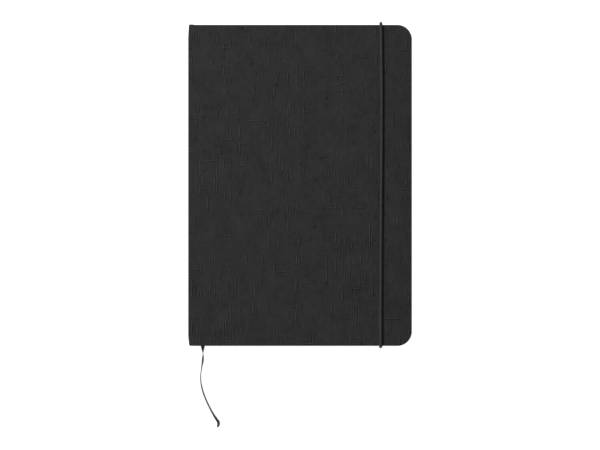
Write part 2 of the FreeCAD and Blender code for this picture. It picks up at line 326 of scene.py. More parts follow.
def cut_near_ends(cuts):
    """Add lines as far as this from the head and from the tail."""
    for cut in cuts:
        cut_across("y", HALF_HEIGHT - cut, cut - HALF_HEIGHT)


def remove_faces(piece, rule):
    pick(piece, "FACE", rule)
    bpy.ops.mesh.delete(type="FACE")


def bevel_edges(piece, rule, radius, steps):
    pick(piece, "EDGE", rule)
    bpy.ops.mesh.bevel(offset=radius, segments=steps, affect="EDGES", offset_type="OFFSET")


def bevel_upright(piece, x, radius=CLOTH_ARRIS, steps=ARRIS_STEPS):
    """Round the upright edges that stand at this x."""
    def is_upright(edge):
        a, b = (point.co for point in edge.verts)
        return abs(a.x - x) < MM / 100 and abs(b.x - x) < MM / 100 and abs(a.z - b.z) > MM

    bevel_edges(piece, is_upright, radius, steps)


def is_rim(edge):
    """An edge of the outline, at the outer or the inner side of a cover."""
    a, b = (point.co for point in edge.verts)
    return abs(a.z - b.z) < MM / 100


def close_shape():
    """Turn all faces outwards and leave edit mode."""
    bpy.ops.mesh.select_all(action="SELECT")
    bpy.ops.mesh.normals_make_consistent(inside=False)
    done()


print(f"{len(SPINE_CUTS)} cuts beside the spine, {len(END_CUTS)} at each end")

# %% [markdown]
# ## The cloth on the covers
#
# Book cloth is glued round each board: it covers the outside, wraps the edges with a soft arris, and
# 15 mm of it is turned in on the inside at the head, tail and fore edge. A box is close to that shape,
# so each cover starts as one: the fore corners are bevelled wide, the outline is bevelled narrow, the
# window that the turn-ins leave is cut out of the inner side, and Solidify gives the cloth its
# thickness inwards, so the outside keeps its size. Front and back are the same shape, looked at from
# opposite sides, so one function makes both.

# %% Cover cloth
CORNER_STEPS = 14
JOINT_END = 1.35 * MM          # the hinge strip of the cloth ends this far from the cover's outer face


def cover_cloth(name, outer, inner):
    """One cover's cloth, between the heights of its outer and its inner side."""
    low = (SPINE_X, -HALF_HEIGHT, min(outer, inner))
    high = (FORE_X, HALF_HEIGHT, max(outer, inner))
    cloth = box_piece(name, low, high)
    inwards = math.copysign(1.0, inner - outer)
    lip = outer + inwards * JOINT_END
    edit(cloth)
    bevel_upright(cloth, FORE_X, CORNER_RADIUS, CORNER_STEPS)
    bevel_upright(cloth, SPINE_X)
    bevel_edges(cloth, is_rim, CLOTH_ARRIS, ARRIS_STEPS)
    cut_across("x", *(SPINE_X + cut for cut in SPINE_CUTS))
    cut_near_ends(END_CUTS)
    cut_across("x", SPINE_X + CLOTH_ARRIS, FORE_X - TURN_IN)
    cut_across("z", lip)

    def in_window(face):
        spot = middle(face)
        flat = abs(spot.z - inner) < MM / 10 and abs(face.normal.z) > 0.99
        return flat and spot.x < FORE_X - TURN_IN and abs(spot.y) < HALF_HEIGHT - TURN_IN

    def in_joint(face):
        spot = middle(face)
        return spot.x < SPINE_X + CLOTH_ARRIS and (spot.z - lip) * inwards > 0.0

    remove_faces(cloth, in_window)
    remove_faces(cloth, in_joint)
    close_shape()
    return cloth


def thicken(piece, thickness):
    """Give a shell its thickness on the inside, so that the outside stays where it is."""
    take(piece)
    solid = piece.modifiers.new("thickness", "SOLIDIFY")
    solid.thickness = thickness
    solid.offset = -1.0
    solid.use_even_offset = True
    finish_modifiers(piece)


front_cover_cloth = cover_cloth("front_cover_cloth", TOP, front_low[2])
back_cover_cloth = cover_cloth("back_cover_cloth", BOTTOM, back_high[2])
print(f"cover cloth, one layer: {triangles(front_cover_cloth)} triangles")

# %% [markdown]
# ## The cloth on the spine and in the hinges
#
# The same cloth runs over the spine card, with its ends turned in over the card. Between the card and
# each board, two millimetres of cloth have nothing stiff behind them: that is the hinge. All three
# strips are boxes with bevelled ends, opened on the inside and thickened. The hinge strips are cut
# into fine bands along the height, because they have to fold when a cover opens.

# %% Spine and hinge cloth
spine_low, spine_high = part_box("spine_cloth")
FRONT_LIP = TOP - JOINT_END
BACK_LIP = BOTTOM + JOINT_END
FOLD_BANDS = 20
HINGE_CLOTH = 0.35 * MM
PAST_CARD = 0.05 * MM


def rounded_strip(name, low_z, high_z, inside_x, both_sides):
    """A closed strip along the spine, its ends rounded as cloth turned over an edge."""
    strip = box_piece(name, (SPINE_X, -HALF_HEIGHT, low_z), (inside_x, HALF_HEIGHT, high_z))
    edit(strip)
    bevel_upright(strip, SPINE_X)
    if both_sides:
        bevel_upright(strip, inside_x)
    cut_near_ends(END_CUTS)
    remove_faces(strip, lambda face: abs(face.normal.z) > 0.9)
    return strip


def spine_cover_cloth():
    """The turned-in ends reach a hair past the card; the outside stops where the hinges begin."""
    card_low, card_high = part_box("spine_strip")
    low_z, high_z = card_low[2] - PAST_CARD, card_high[2] + PAST_CARD
    strip = rounded_strip("spine_cover_cloth", low_z, high_z, spine_high[0], True)
    cut_across("z", spine_low[2], spine_high[2])

    def in_window(face):
        return face.normal.x > 0.9 and abs(middle(face).y) < HALF_HEIGHT - TURN_IN

    def in_hinge(face):
        spot = middle(face)
        return spot.x < SPINE_X + CLOTH_ARRIS and not spine_low[2] < spot.z < spine_high[2]

    remove_faces(strip, in_window)
    remove_faces(strip, in_hinge)
    close_shape()
    return strip


def hinge_cloth(name, low_z, high_z):
    strip = rounded_strip(name, low_z, high_z, SPINE_X + CLOTH_ARRIS, False)
    remove_faces(strip, lambda face: face.normal.x > 0.9)
    cut_across("z", *(low_z + (high_z - low_z) * band / FOLD_BANDS for band in range(1, FOLD_BANDS)))
    close_shape()
    return strip


spine_cover = spine_cover_cloth()
front_hinge_cloth = hinge_cloth("front_hinge_cloth", spine_high[2], FRONT_LIP)
back_hinge_cloth = hinge_cloth("back_hinge_cloth", BACK_LIP, spine_low[2])
hinge_width = 1000 * (FRONT_LIP - spine_high[2])
print(f"hinge cloth {hinge_width:.2f} mm wide, {triangles(front_hinge_cloth)} triangles")

# %% [markdown]
# ## Boards and spine card
#
# The boards are grey mill board and the spine card is thin grey card. The cloth hides them all round,
# but they must follow its outline, and the ends of the spine are about to be eased, so they are cut
# here with the same lines across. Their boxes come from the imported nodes.

# %% Boards and card
BOARD_ARRIS = 0.3 * MM


def stiff_piece(name, node, fore_radius):
    low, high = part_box(node)
    board = box_piece(name, low, high)
    edit(board)
    if fore_radius:
        bevel_upright(board, high[0], fore_radius, CORNER_STEPS)
    bevel_edges(board, is_rim, BOARD_ARRIS, 2)
    cut_across("x", *(SPINE_X + cut for cut in SPINE_CUTS))
    cut_near_ends(END_CUTS)
    close_shape()
    return board


front_stiff = stiff_piece("front_board_core", "front_board", CORNER_RADIUS - CLOTH)
back_stiff = stiff_piece("back_board_core", "back_board", CORNER_RADIUS - CLOTH)
spine_stiff = stiff_piece("spine_card", "spine_strip", 0.0)
print(f"each board {triangles(front_stiff)} triangles, the spine card {triangles(spine_stiff)}")

# %% [markdown]
# ## Handling at the ends of the spine
#
# Cloth turned in over the ends of a spine never stays square. The ends draw in by half a millimetre,
# a small ear of folded cloth stands up at the head, and a soft crease runs down beside the hinge. A
# sculpting brush would do this on one piece, but here several layers must move together, so one rule
# moves the points of every piece by where they lie.

# %% Ease the ends of the spine
HEAD_EASE = 0.4 * MM
HEAD_EASE_SPAN = 9.0 * MM
TAIL_EASE = 0.6 * MM
TAIL_EASE_SPAN = 7.0 * MM
EASE_DEPTH = 2.0 * MM          # as deep as this from the spine face, all layers move alike
EASE_FADE = 7.0 * MM
EAR = 0.32 * MM
EAR_FROM_SPINE = 1.5 * MM
EAR_SPAN = 3.0 * MM
CREASE = 0.16 * MM
CREASE_FROM_SPINE = 2.0 * MM
CREASE_SPAN = 0.8 * MM


def fade(value, span):
    """Nothing below zero, one past the span, and a smooth rise between."""
    share = min(max(value / span, 0.0), 1.0)
    return share * share * (3.0 - 2.0 * share)


def swell(distance, half_width):
    """One at no distance, nothing past the half width."""
    return 1.0 - fade(abs(distance), half_width)


def ease_spine_ends(piece):
    for point in piece.data.vertices:
        spot = point.co
        from_spine = spot.x - SPINE_X
        near = 1.0 - fade(from_spine - EASE_DEPTH, EASE_FADE)
        at_head = fade(spot.y - HALF_HEIGHT + HEAD_EASE_SPAN, HEAD_EASE_SPAN)
        at_tail = fade(TAIL_EASE_SPAN - HALF_HEIGHT - spot.y, TAIL_EASE_SPAN)
        ear = swell(from_spine - EAR_FROM_SPINE, EAR_SPAN) * fade(spot.y - HALF_HEIGHT + EAR_SPAN, EAR_SPAN)
        crease = swell(from_spine - CREASE_FROM_SPINE, CREASE_SPAN) * max(at_head, at_tail)
        spot.x += near * (HEAD_EASE * at_head + TAIL_EASE * at_tail)
        spot.y += EAR * ear
        if spot.z > TOP - MM / 2:
            spot.z -= CREASE * crease


case_cloth = [front_cover_cloth, back_cover_cloth, spine_cover, front_hinge_cloth, back_hinge_cloth]
case_boards = [front_stiff, back_stiff, spine_stiff]
for piece in case_cloth + case_boards:
    ease_spine_ends(piece)
for piece in case_cloth:
    thicken(piece, HINGE_CLOTH if piece in (front_hinge_cloth, back_hinge_cloth) else CLOTH)
    smooth(piece)
for piece in case_boards:
    smooth(piece, 30.0)
print(f"spine ends eased on {len(case_cloth)} pieces of cloth and {len(case_boards)} of board")

# %% [markdown]
# ## What each piece of the case moves with
#
# The covers turn about the hinges, the spine stays with the block.


for piece, body, node in (
    (front_cover_cloth, "front_cover", "front_cloth"),
    (back_cover_cloth, "back_cover", "back_cloth"),
    (spine_cover, "block", "spine_cloth"),
    (front_stiff, "front_cover", "front_board"),
    (back_stiff, "back_cover", "back_board"),
    (spine_stiff, "block", "spine_strip"),
):
    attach(piece, body)
    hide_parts(node)

for piece, cover, inner, outer in (
    (front_hinge_cloth, "front", spine_high[2], FRONT_LIP),
    (back_hinge_cloth, "back", spine_low[2], BACK_LIP),
):
    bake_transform(piece)
    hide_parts(f"{cover}_joint_cloth")
print(len(case_cloth) + len(case_boards), "pieces of the case are on their bodies")

# %% [markdown]
# ## The leaves
#
# The block is 96 leaves, sewn and trimmed together. It is one body, but its edge is what the eye reads
# as paper: each leaf ends a hair further in or out than the next. One flat outline with two rounded
# corners is extruded upwards leaf by leaf, drawn in a little for the gap between two leaves, and
# shifted by a few hundredths of a millimetre, always in the same seeded order. Ninety-six separate
# sheets would weigh far more and show no more.

# %% Page block
LEAVES = 96
BLOCK_CORNER = 7.0 * MM
LEAF_GAP_DEPTH = 0.07 * MM
LEAF_GAP_SHARE = 0.16
LEAF_SHIFT = 0.035 * MM
leaf_pitch = (block_high[2] - block_low[2]) / LEAVES


def plane_piece(name, place, width, length):
    """A flat primitive with its middle at this place."""
    let_go()
    bpy.ops.mesh.primitive_plane_add(size=1.0, location=place)
    bpy.context.object.scale = (width, length, 1.0)
    return name_new(name)


def grow(height, scale, about, aside=Vector()):
    """Extrude what is picked upwards and aside, and scale its new end about a point."""
    bpy.ops.mesh.extrude_region_move(TRANSFORM_OT_translate={"value": (aside.x, aside.y, height)})
    bpy.ops.transform.resize(value=scale, center_override=about)


def page_block():
    low, high = Vector(block_low), Vector(block_high)
    centre = (low + high) / 2
    size = high - low
    block = plane_piece("page_leaves", (centre.x, centre.y, low.z), size.x, size.y)
    edit(block)
    pick(block, "VERT", lambda point: point.co.x > centre.x)
    bpy.ops.mesh.bevel(offset=BLOCK_CORNER, segments=CORNER_STEPS, affect="VERTICES")
    pick(block, "FACE", lambda face: True)
    chance = random.Random(LEAVES)
    about = (centre.x, centre.y, 0.0)
    as_it_is = (1.0, 1.0, 1.0)
    drawn_in = (1.0 - 2 * LEAF_GAP_DEPTH / size.x, 1.0 - 2 * LEAF_GAP_DEPTH / size.y, 1.0)
    let_out = (1.0 / drawn_in[0], 1.0 / drawn_in[1], 1.0)
    gap = leaf_pitch * LEAF_GAP_SHARE
    offset = Vector()
    for leaf in range(LEAVES):
        target = Vector((-abs(chance.gauss(0.0, 1.0)), chance.gauss(0.0, 1.0), 0.0)) * LEAF_SHIFT
        grow(gap, let_out if leaf else as_it_is, about, target - offset)
        grow(leaf_pitch - 2 * gap, as_it_is, about)
        grow(gap, drawn_in if leaf < LEAVES - 1 else as_it_is, about)
        offset = target
    close_shape()
    return block


leaves = page_block()
smooth(leaves, 50.0)
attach(leaves, "block")
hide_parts("page_block")
print(f"{LEAVES} leaves of {1000 * leaf_pitch:.2f} mm, {triangles(leaves)} triangles")

# %% [markdown]
# ## Endpaper folds
#
# Each endpaper is one folded sheet: half of it is the flyleaf on the block and half is pasted to the cover.
# The flat halves are imported nodes and keep their meshes. The fold between them has to bend, so it is made
# here as a narrow curled strip. At head and tail the pasted half lies on the turned-in cloth and not on the
# board, so its edge is lower there, and those two stretches are a piece of their own.

# %% Endpaper folds
ENDPAPER = 0.15 * MM
FOLD_STEPS = 18
FOLD_BULGE = 0.25 * MM
fly_low, fly_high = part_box("front_flyleaf")
paste_low, paste_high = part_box("front_pastedown")
FOLD_END = min(fly_high[1], paste_high[1])
CLOTH_EDGE = HALF_HEIGHT - TURN_IN


def endpaper_fold(name, fly_level, paste_level, at_ends):
    """A half round of paper from the flyleaf's edge to the pasted half's edge."""
    fold = plane_piece(name, (0.0, 0.0, 0.0), 1.0, 2 * FOLD_END)
    edit(fold)
    cut_across("x", *(step / FOLD_STEPS - 0.5 for step in range(1, FOLD_STEPS)))
    cut_across("y", CLOTH_EDGE, -CLOTH_EDGE)
    cut_near_ends(END_CUTS[3:-1])
    remove_faces(fold, lambda face: (abs(middle(face).y) > CLOTH_EDGE) != at_ends)
    done()
    for point in fold.data.vertices:
        angle = math.pi * (point.co.x + 0.5)
        point.co.x = fly_low[0] - FOLD_BULGE * math.sin(angle)
        point.co.z = (fly_level + paste_level) / 2 + (fly_level - paste_level) / 2 * math.cos(angle)
    ease_spine_ends(fold)
    edit(fold)
    close_shape()
    solid = fold.modifiers.new("thickness", "SOLIDIFY")
    solid.thickness = ENDPAPER
    solid.offset = 0.0
    finish_modifiers(fold)
    smooth(fold, 60.0)
    return fold


fly_middle = (fly_low[2] + fly_high[2]) / 2
paste_board = paste_high[2] - ENDPAPER / 2
paste_rim = paste_low[2] + ENDPAPER / 2
endpaper_folds = []
for cover, mirror in (("front", False), ("back", True)):
    for part, pasted, at_ends in (("fold", paste_board, False), ("fold_ends", paste_rim, True)):
        levels = [fly_middle, pasted, fly_middle + ENDPAPER / 4, pasted - ENDPAPER / 4]
        if mirror:
            levels = [BOTTOM + TOP - level for level in levels]
        fold = endpaper_fold(f"{cover}_endpaper_{part}", levels[0], levels[1], at_ends)
        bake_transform(fold)
        endpaper_folds.append(fold)
print("endpaper folds", {fold.name: triangles(fold) for fold in endpaper_folds})

# %% [markdown]
# ## End bands
#
# The end bands are strips of tape with a corded edge, glued to the back of the block at head and tail.
# The cord shows between the spine and the leaves as a small ribbed roll. Each rib is one turn of the
# cloth over the cord, so a circle is extruded rib by rib, wide and narrow in turn, and a thin box
# behind it is the glued tape.

# %% End bands
RIB = 0.4 * MM
RIB_WAIST = 0.93               # the cord between two ribs, as a share of its width at a rib
BEAD_SIDES = 16
BEAD_RADIUS = 0.8 * MM
band_low, band_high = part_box("head_band")
bead_x = band_high[0] - BEAD_RADIUS
bead_y = band_high[1] - BEAD_RADIUS


def end_band(name, side):
    let_go()
    bpy.ops.mesh.primitive_circle_add(
        vertices=BEAD_SIDES, radius=BEAD_RADIUS * RIB_WAIST, fill_type="NGON",
        location=(bead_x, side * bead_y, band_low[2]),
    )
    bead = name_new(name)
    edit(bead)
    pick(bead, "FACE", lambda face: True)
    ribs = round((band_high[2] - band_low[2]) / RIB)
    half_rib = (band_high[2] - band_low[2]) / ribs / 2
    for factor in ribs * (1.0 / RIB_WAIST, RIB_WAIST):
        grow(half_rib, (factor, factor, 1.0), (bead_x, side * bead_y, 0.0))
    close_shape()
    tape_ends = sorted((side * band_low[1], side * bead_y))
    tape = box_piece(
        "tape", (band_low[0], tape_ends[0], band_low[2]), (block_low[0], tape_ends[1], band_high[2])
    )
    take(bead)
    tape.select_set(True)
    bpy.ops.object.join()
    smooth(bead, 50.0)
    return bead


end_bands = [end_band("head_end_band", 1.0), end_band("tail_end_band", -1.0)]
for piece, node in zip(end_bands, ("head_band", "tail_band")):
    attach(piece, "block")
    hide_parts(node)
print(f"end band cord {2000 * BEAD_RADIUS:.1f} mm thick, {triangles(end_bands[0])} triangles")

# %% [markdown]
# ## Elastic band
#
# The band is round braided elastic. Its two ends are flattened and glued between the back board and
# its pastedown, and from there it comes out at head and tail, turns up past the leaves and runs over
# the front cover. It is one round cord on one line, so a Bezier curve with a round bevel is the
# shortest way: straight runs are two points, and a quarter turn needs handles of 0.55 radius. Up the
# sides the taut cord takes the straight way to the cover's edge. Its line across the cover isn't quite
# straight, because a stretched cord rests where it was let go.

# %% Elastic line
ELASTIC_SIDES = 20
ELASTIC_RADIUS = 1.0 * MM
QUARTER_HANDLE = 0.5523
EXIT_RADIUS = 2.3 * MM
EXIT_HANDLE = QUARTER_HANDLE * EXIT_RADIUS * 0.7      # a little flatter than a true quarter turn
loop_low, loop_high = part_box("elastic_band")
elastic_x = (loop_low[0] + loop_high[0]) / 2
elastic_side = loop_high[1] - ELASTIC_RADIUS
elastic_top = loop_high[2] - ELASTIC_RADIUS
TURN_RADIUS = elastic_top - (TOP - CLOTH_ARRIS)
EXIT_HEIGHT = back_high[2]
SLANT = 0.6 * MM
TAB_HEIGHT = 2.15 * MM
TAB_START = 102.55 * MM
TAB_END = 93.05 * MM
TAB_WIDTH = 3.0 * MM
TAB_THICKNESS = 0.8 * MM
# How far the band lies towards the fore edge of its exits: at head and tail, then across the cover.
HEAD_ASIDE = -0.35
TAIL_ASIDE = -0.6
BOW = [(88.0, -0.12), (66.0, 0.1), (30.0, 0.05), (-10.0, -0.2), (-50.0, -0.43), (-80.0, -0.57)]


def elastic_half_line(side, aside):
    """Half the band, from its glued end to the bend over the cover: point, direction and handle."""
    outward = Vector((0.0, side, 0.0))
    exit_y = elastic_side - EXIT_RADIUS
    bend_y = elastic_side - TURN_RADIUS
    foot = Vector((elastic_x, side * (elastic_side - SLANT), EXIT_HEIGHT + EXIT_RADIUS))
    knee = Vector((elastic_x + aside * MM, side * elastic_side, elastic_top - TURN_RADIUS))
    taut = (knee - foot).normalized()
    stations = [
        ((elastic_x, side * TAB_END, TAB_HEIGHT), outward, 2.0 * MM),
        ((elastic_x, side * TAB_START, TAB_HEIGHT), outward, 0.5 * MM),
        ((elastic_x, side * exit_y, EXIT_HEIGHT), outward, EXIT_HANDLE),
        (foot, taut, EXIT_HANDLE),
    ]
    for share in (0.33, 0.67):
        stations.append((foot.lerp(knee, share), taut, (knee - foot).length / 9))
    stations.append((knee, taut, QUARTER_HANDLE * TURN_RADIUS))
    over = (elastic_x + aside * MM, side * bend_y, elastic_top)
    stations.append((over, -outward, QUARTER_HANDLE * TURN_RADIUS))
    return stations


def elastic_curve():
    stations = elastic_half_line(1.0, HEAD_ASIDE)
    for y, aside in BOW:
        place = (elastic_x + aside * MM, y * MM, elastic_top)
        stations.append((place, Vector((0.0, -1.0, 0.0)), 7.0 * MM))
    for place, direction, handle in reversed(elastic_half_line(-1.0, TAIL_ASIDE)):
        stations.append((place, -direction, handle))
    line, knots = new_curve("closing_elastic", "BEZIER", len(stations), "MINIMUM")
    for knot, (place, direction, handle) in zip(knots, stations):
        knot.handle_left_type = knot.handle_right_type = "FREE"
        knot.co = place
        knot.handle_left = Vector(place) - direction * handle
        knot.handle_right = Vector(place) + direction * handle
    line.data.resolution_u = 10
    line.data.bevel_depth = ELASTIC_RADIUS
    line.data.bevel_resolution = ELASTIC_SIDES // 4 - 1
    line.data.use_fill_caps = True
    return to_mesh(line)


elastic = elastic_curve()
print(f"elastic cord {triangles(elastic)} triangles")

# %% [markdown]
# ## Elastic: real length on its UV map
#
# The braid will be drawn on the UV map, so the map has to keep the scale of the cord. A curve gives
# each stretch between two of its points the same share of the map, which would draw the braid out on
# the long runs. So each ring of points gets the length of the cord up to that ring instead.

# %% Elastic map
def even_map(piece):
    """Write real length into the lengthwise direction of the UV map, ring by ring."""
    rings = {}
    uv = piece.data.uv_layers[0].data
    sides = [face for face in piece.data.polygons if len(face.vertices) == 4]
    corners = [corner for face in sides for corner in face.loop_indices]
    for corner in corners:
        place = piece.data.vertices[piece.data.loops[corner].vertex_index].co
        rings.setdefault(round(uv[corner].uv.x, 5), []).append(place)
    shares = sorted(rings)
    centres = [sum(rings[share], Vector()) / len(rings[share]) for share in shares]
    along = {shares[0]: 0.0}
    for i in range(1, len(shares)):
        along[shares[i]] = along[shares[i - 1]] + (centres[i] - centres[i - 1]).length
    for corner in corners:
        uv[corner].uv.x = along[round(uv[corner].uv.x, 5)]
    return along[shares[-1]]


elastic_length = even_map(elastic)
print(f"elastic {1000 * elastic_length:.1f} mm long with its glued ends")

# %% [markdown]
# ## Elastic: flattened ends
#
# The ends are pressed flat to go under the pastedown, so their points are scaled about the middle of
# the cord, more and more along the neck. At the tail the cord bears harder on the cover's edge and is
# squashed a little there.

# %% Elastic ends
TAIL_SQUASH = 0.3
SQUASH_FROM = 8.0 * MM         # the height where the tail side begins to be squashed
SQUASH_SPAN = 5.0 * MM
SQUASH_GAP = 0.1 * MM


def flatten_ends(piece):
    neck = elastic_side - EXIT_RADIUS - TAB_START
    for point in piece.data.vertices:
        spot = point.co
        if spot.z > EXIT_HEIGHT + ELASTIC_RADIUS:
            continue
        flat = fade(elastic_side - EXIT_RADIUS - abs(spot.y), neck)
        middle_z = EXIT_HEIGHT + (TAB_HEIGHT - EXIT_HEIGHT) * flat
        wide = 1.0 + (TAB_WIDTH / (2 * ELASTIC_RADIUS) - 1.0) * flat
        thin = 1.0 + (TAB_THICKNESS / (2 * ELASTIC_RADIUS) - 1.0) * flat
        spot.x = elastic_x + (spot.x - elastic_x) * wide
        spot.z = middle_z + (spot.z - middle_z) * thin


def squash_at_tail(piece):
    edge = HALF_HEIGHT + SQUASH_GAP
    for point in piece.data.vertices:
        spot = point.co
        share = fade(spot.z - SQUASH_FROM, SQUASH_SPAN)
        if spot.y < -edge:
            spot.y = -edge + (spot.y + edge) * (1.0 - TAIL_SQUASH * share)


flatten_ends(elastic)
squash_at_tail(elastic)
smooth(elastic, 60.0)
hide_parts("elastic_band")
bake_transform(elastic)
print(f"glued ends {1000 * TAB_WIDTH:.1f} mm wide and {1000 * TAB_THICKNESS:.1f} mm thick")

# %% [markdown]
# ## Building materials from nodes
#
# A material here is a Principled shader and a small network that varies its colour, roughness and
# height. Written out, each node takes four lines, so helpers do it in one: the first adds a node and
# feeds its sockets, and the others are sums, a smooth step and a noise. An output knows which network
# it is in, so only the first nodes of a network have to be told.

# %% Helpers for nodes
def add(tree, kind, sockets=None, **settings):
    """Add a shader node, set its options, and feed its sockets with numbers or other outputs."""
    node = tree.nodes.new("ShaderNode" + kind)
    for setting, value in settings.items():
        setattr(node, setting, value)
    for key, value in (sockets or {}).items():
        if isinstance(value, bpy.types.NodeSocket):
            tree.links.new(value, node.inputs[key])
        else:
            node.inputs[key].default_value = value
    return node


def calc(operation, *values):
    """A sum of outputs and numbers, in the network that the outputs are in."""
    tree = next(value.id_data for value in values if isinstance(value, bpy.types.NodeSocket))
    return add(tree, "Math", dict(enumerate(values)), operation=operation).outputs[0]


plus = partial(calc, "ADD")
minus = partial(calc, "SUBTRACT")
times = partial(calc, "MULTIPLY")
divided = partial(calc, "DIVIDE")
size_of = partial(calc, "ABSOLUTE")


def step_up(value, low, high):
    """A smooth rise from 0 at low to 1 at high."""
    sockets = {"Value": value, "From Min": low, "From Max": high}
    return add(value.id_data, "MapRange", sockets, interpolation_type="SMOOTHSTEP").outputs[0]


def flat_place(x, y):
    return add(x.id_data, "CombineXYZ", {"X": x, "Y": y}).outputs[0]


def parts_of(vector):
    return add(vector.id_data, "SeparateXYZ", {0: vector}).outputs


def stretched_noise(x, y, detail=1.0):
    """Noise over a pair of values, each already divided by the size of its spots."""
    sockets = {"Vector": flat_place(x, y), "Scale": 1.0, "Detail": detail}
    return add(x.id_data, "TexNoise", sockets, noise_dimensions="2D").outputs[0]


bare = [piece.name for piece in bpy.data.objects if piece.type == "MESH" and not piece.data.materials]
print(len(bare), "meshes wait for a material")

# %% [markdown]
# ## Starting groups and materials
#
# What several materials share goes into a node group with named sockets, which is built once and
# placed in each of them with its own values. Every material here ends the same way: a tone chooses a
# colour between two, and a height gives relief of a real depth.

# %% Helpers for materials
def new_group(name, inputs, outputs):
    """A node group with named sockets: the group, what comes into it, and its last node."""
    group = bpy.data.node_groups.new(name, "ShaderNodeTree")
    for socket, value in inputs.items():
        made = group.interface.new_socket(name=socket, in_out="INPUT", socket_type="NodeSocketFloat")
        made.default_value = value
    for socket in outputs:
        group.interface.new_socket(name=socket, in_out="OUTPUT", socket_type="NodeSocketFloat")
    source = group.nodes.new("NodeGroupInput")
    return group, source.outputs, group.nodes.new("NodeGroupOutput")


def place_group(tree, group, **values):
    """Put a group into a network and feed its sockets, with _ for the spaces in their names."""
    sockets = {name.replace("_", " "): value for name, value in values.items()}
    return add(tree, "Group", sockets, node_tree=group).outputs


def new_material(name, specular):
    """A Principled material, its network and its shader."""
    material = bpy.data.materials.new(name)
    material.use_nodes = True
    shader = material.node_tree.nodes["Principled BSDF"]
    shader.inputs["Specular IOR Level"].default_value = specular
    return material, material.node_tree, shader


def feed(node, socket, value):
    node.id_data.links.new(value, node.inputs[socket])


def paint(shader, tone, dark, light):
    """A base colour between two, by a value that varies over the surface."""
    sockets = {"Factor": tone, 6: (*dark, 1.0), 7: (*light, 1.0)}
    feed(shader, "Base Color", add(tone.id_data, "Mix", sockets, data_type="RGBA").outputs[2])


def bump(shader, height, depth):
    """Feed a height between 0 and 1 to the shader as relief of a real depth in metres."""
    feed(shader, "Normal", add(height.id_data, "Bump", {"Height": height, "Distance": depth}).outputs[0])


def dress(material, *pieces):
    print(material.name, "on", [piece.name for piece in pieces])
    for piece in pieces:
        if piece.data.materials:
            for slot in piece.material_slots:
                slot.material = material
        else:
            piece.data.materials.append(material)

# %% [markdown]
# ## Which way the threads run
#
# The case was cut from one sheet of cloth, so its warp runs from tail to head everywhere, and its weft
# runs across the cover and then down over the edges. Object coordinates give the place on the sheet
# if the height takes over from x on the spine and the fore edge, and from y on the head and the tail.
# A UV map would do as well, but these coordinates match across pieces with no seams to line up. Cloth
# that is pulled over a board is never quite straight, so slow noise moves the threads by a little.

# %% Cloth directions group
PULL = 0.8 * MM
PULL_SCALE = 110.0             # about nine millimetres from one pull to the next
SIDEWAYS = 0.72                # a face whose normal leans more than this looks along that axis


def make_cloth_directions():
    group, _, result = new_group("cloth_directions", {}, ["Across warp", "Across weft"])
    place = add(group, "TexCoord").outputs
    spot, facing = parts_of(place["Object"]), parts_of(place["Normal"])
    noise = add(group, "TexNoise", {"Vector": place["Object"], "Scale": PULL_SCALE, "Detail": 1.0})
    pull = parts_of(noise.outputs["Color"])
    for axis, name in ((0, "Across warp"), (1, "Across weft")):
        steep = calc("GREATER_THAN", size_of(facing[axis]), SIDEWAYS)
        swap = times(steep, minus(spot[2], spot[axis]))
        moved = times(minus(pull[axis], 0.5), PULL)
        feed(result, name, plus(plus(spot[axis], swap), moved))
    return group


cloth_directions = make_cloth_directions()
print(cloth_directions.name, "has", len(cloth_directions.nodes), "nodes")

# %% [markdown]
# ## Plain weave
#
# In a plain weave each thread goes over one and under the next. Two sines, one for each set of
# threads, give the round backs of the threads, and the sign of their product says which set is on top
# at a crossing. A little noise along the threads makes them wander and swell, as spun flax does. The
# relief is real in scale: 20 threads to the centimetre.

# %% Weave group
THREAD = 0.5 * MM
DRIFT_WIDTH = 1.6 * MM
DRIFT_LENGTH = 4.0 * MM


def make_weave():
    inputs = {"Across warp": 0.0, "Across weft": 0.0, "Pitch": THREAD, "Wander": 1.0}
    group, source, result = new_group("plain_weave", inputs, ["Height"])
    waves = []
    for across, along, seed in (("Across warp", "Across weft", 3.0), ("Across weft", "Across warp", 11.0)):
        near = plus(divided(source[across], DRIFT_WIDTH), seed)
        drift = minus(stretched_noise(near, divided(source[along], DRIFT_LENGTH)), 0.5)
        turns = plus(divided(source[across], source["Pitch"]), times(drift, source["Wander"]))
        waves.append(calc("SINE", times(turns, math.pi)))
    warp, weft = (size_of(wave) for wave in waves)
    lead = times(times(waves[0], waves[1]), minus(warp, weft))
    feed(result, "Height", times(plus(plus(warp, weft), lead), 0.5))
    return group


plain_weave = make_weave()
print(plain_weave.name, "has", len(plain_weave.nodes), "nodes")

# %% [markdown]
# ## Slubs
#
# What makes linen look like linen is its slubs: threads that swell for a few millimetres. Each narrow
# band of threads gets its own row of noise, stretched along the thread, and only the peaks are kept.
# Where a peak fades the thread gets thinner as well as lower, which draws a spindle. It stands up, and the
# group gives a height and a shade: the spindle is lighter, and a dark line at each side of it is painted
# shade in the dips. With its two directions exchanged it gives the weft's slubs.

# %% Slub group
ROW_STEP = 7.31                # so far apart that neighbouring rows of noise look unlike
TAPER = 0.12


def make_slubs():
    inputs = {"Across": 0.0, "Along": 0.0, "Width": 0.00095, "Length": 0.008, "Rarity": 0.62}
    group, source, result = new_group("slub_threads", inputs, ["Height", "Shade"])
    rows = divided(source["Across"], source["Width"])
    back = calc("SINE", times(calc("FRACT", rows), math.pi))
    along = divided(source["Along"], source["Length"])
    swelling = stretched_noise(times(calc("FLOOR", rows), ROW_STEP), along)
    kept = step_up(minus(swelling, source["Rarity"]), 0.0, TAPER)
    spindle = calc("MAXIMUM", minus(plus(back, kept), 1.0), 0.0)
    feed(result, "Height", spindle)
    # Painted shade: the shade is dark at the sides of each spindle, where the dips beside it lie.
    feed(result, "Shade", minus(times(spindle, 2.0), times(kept, 1.2)))
    return group


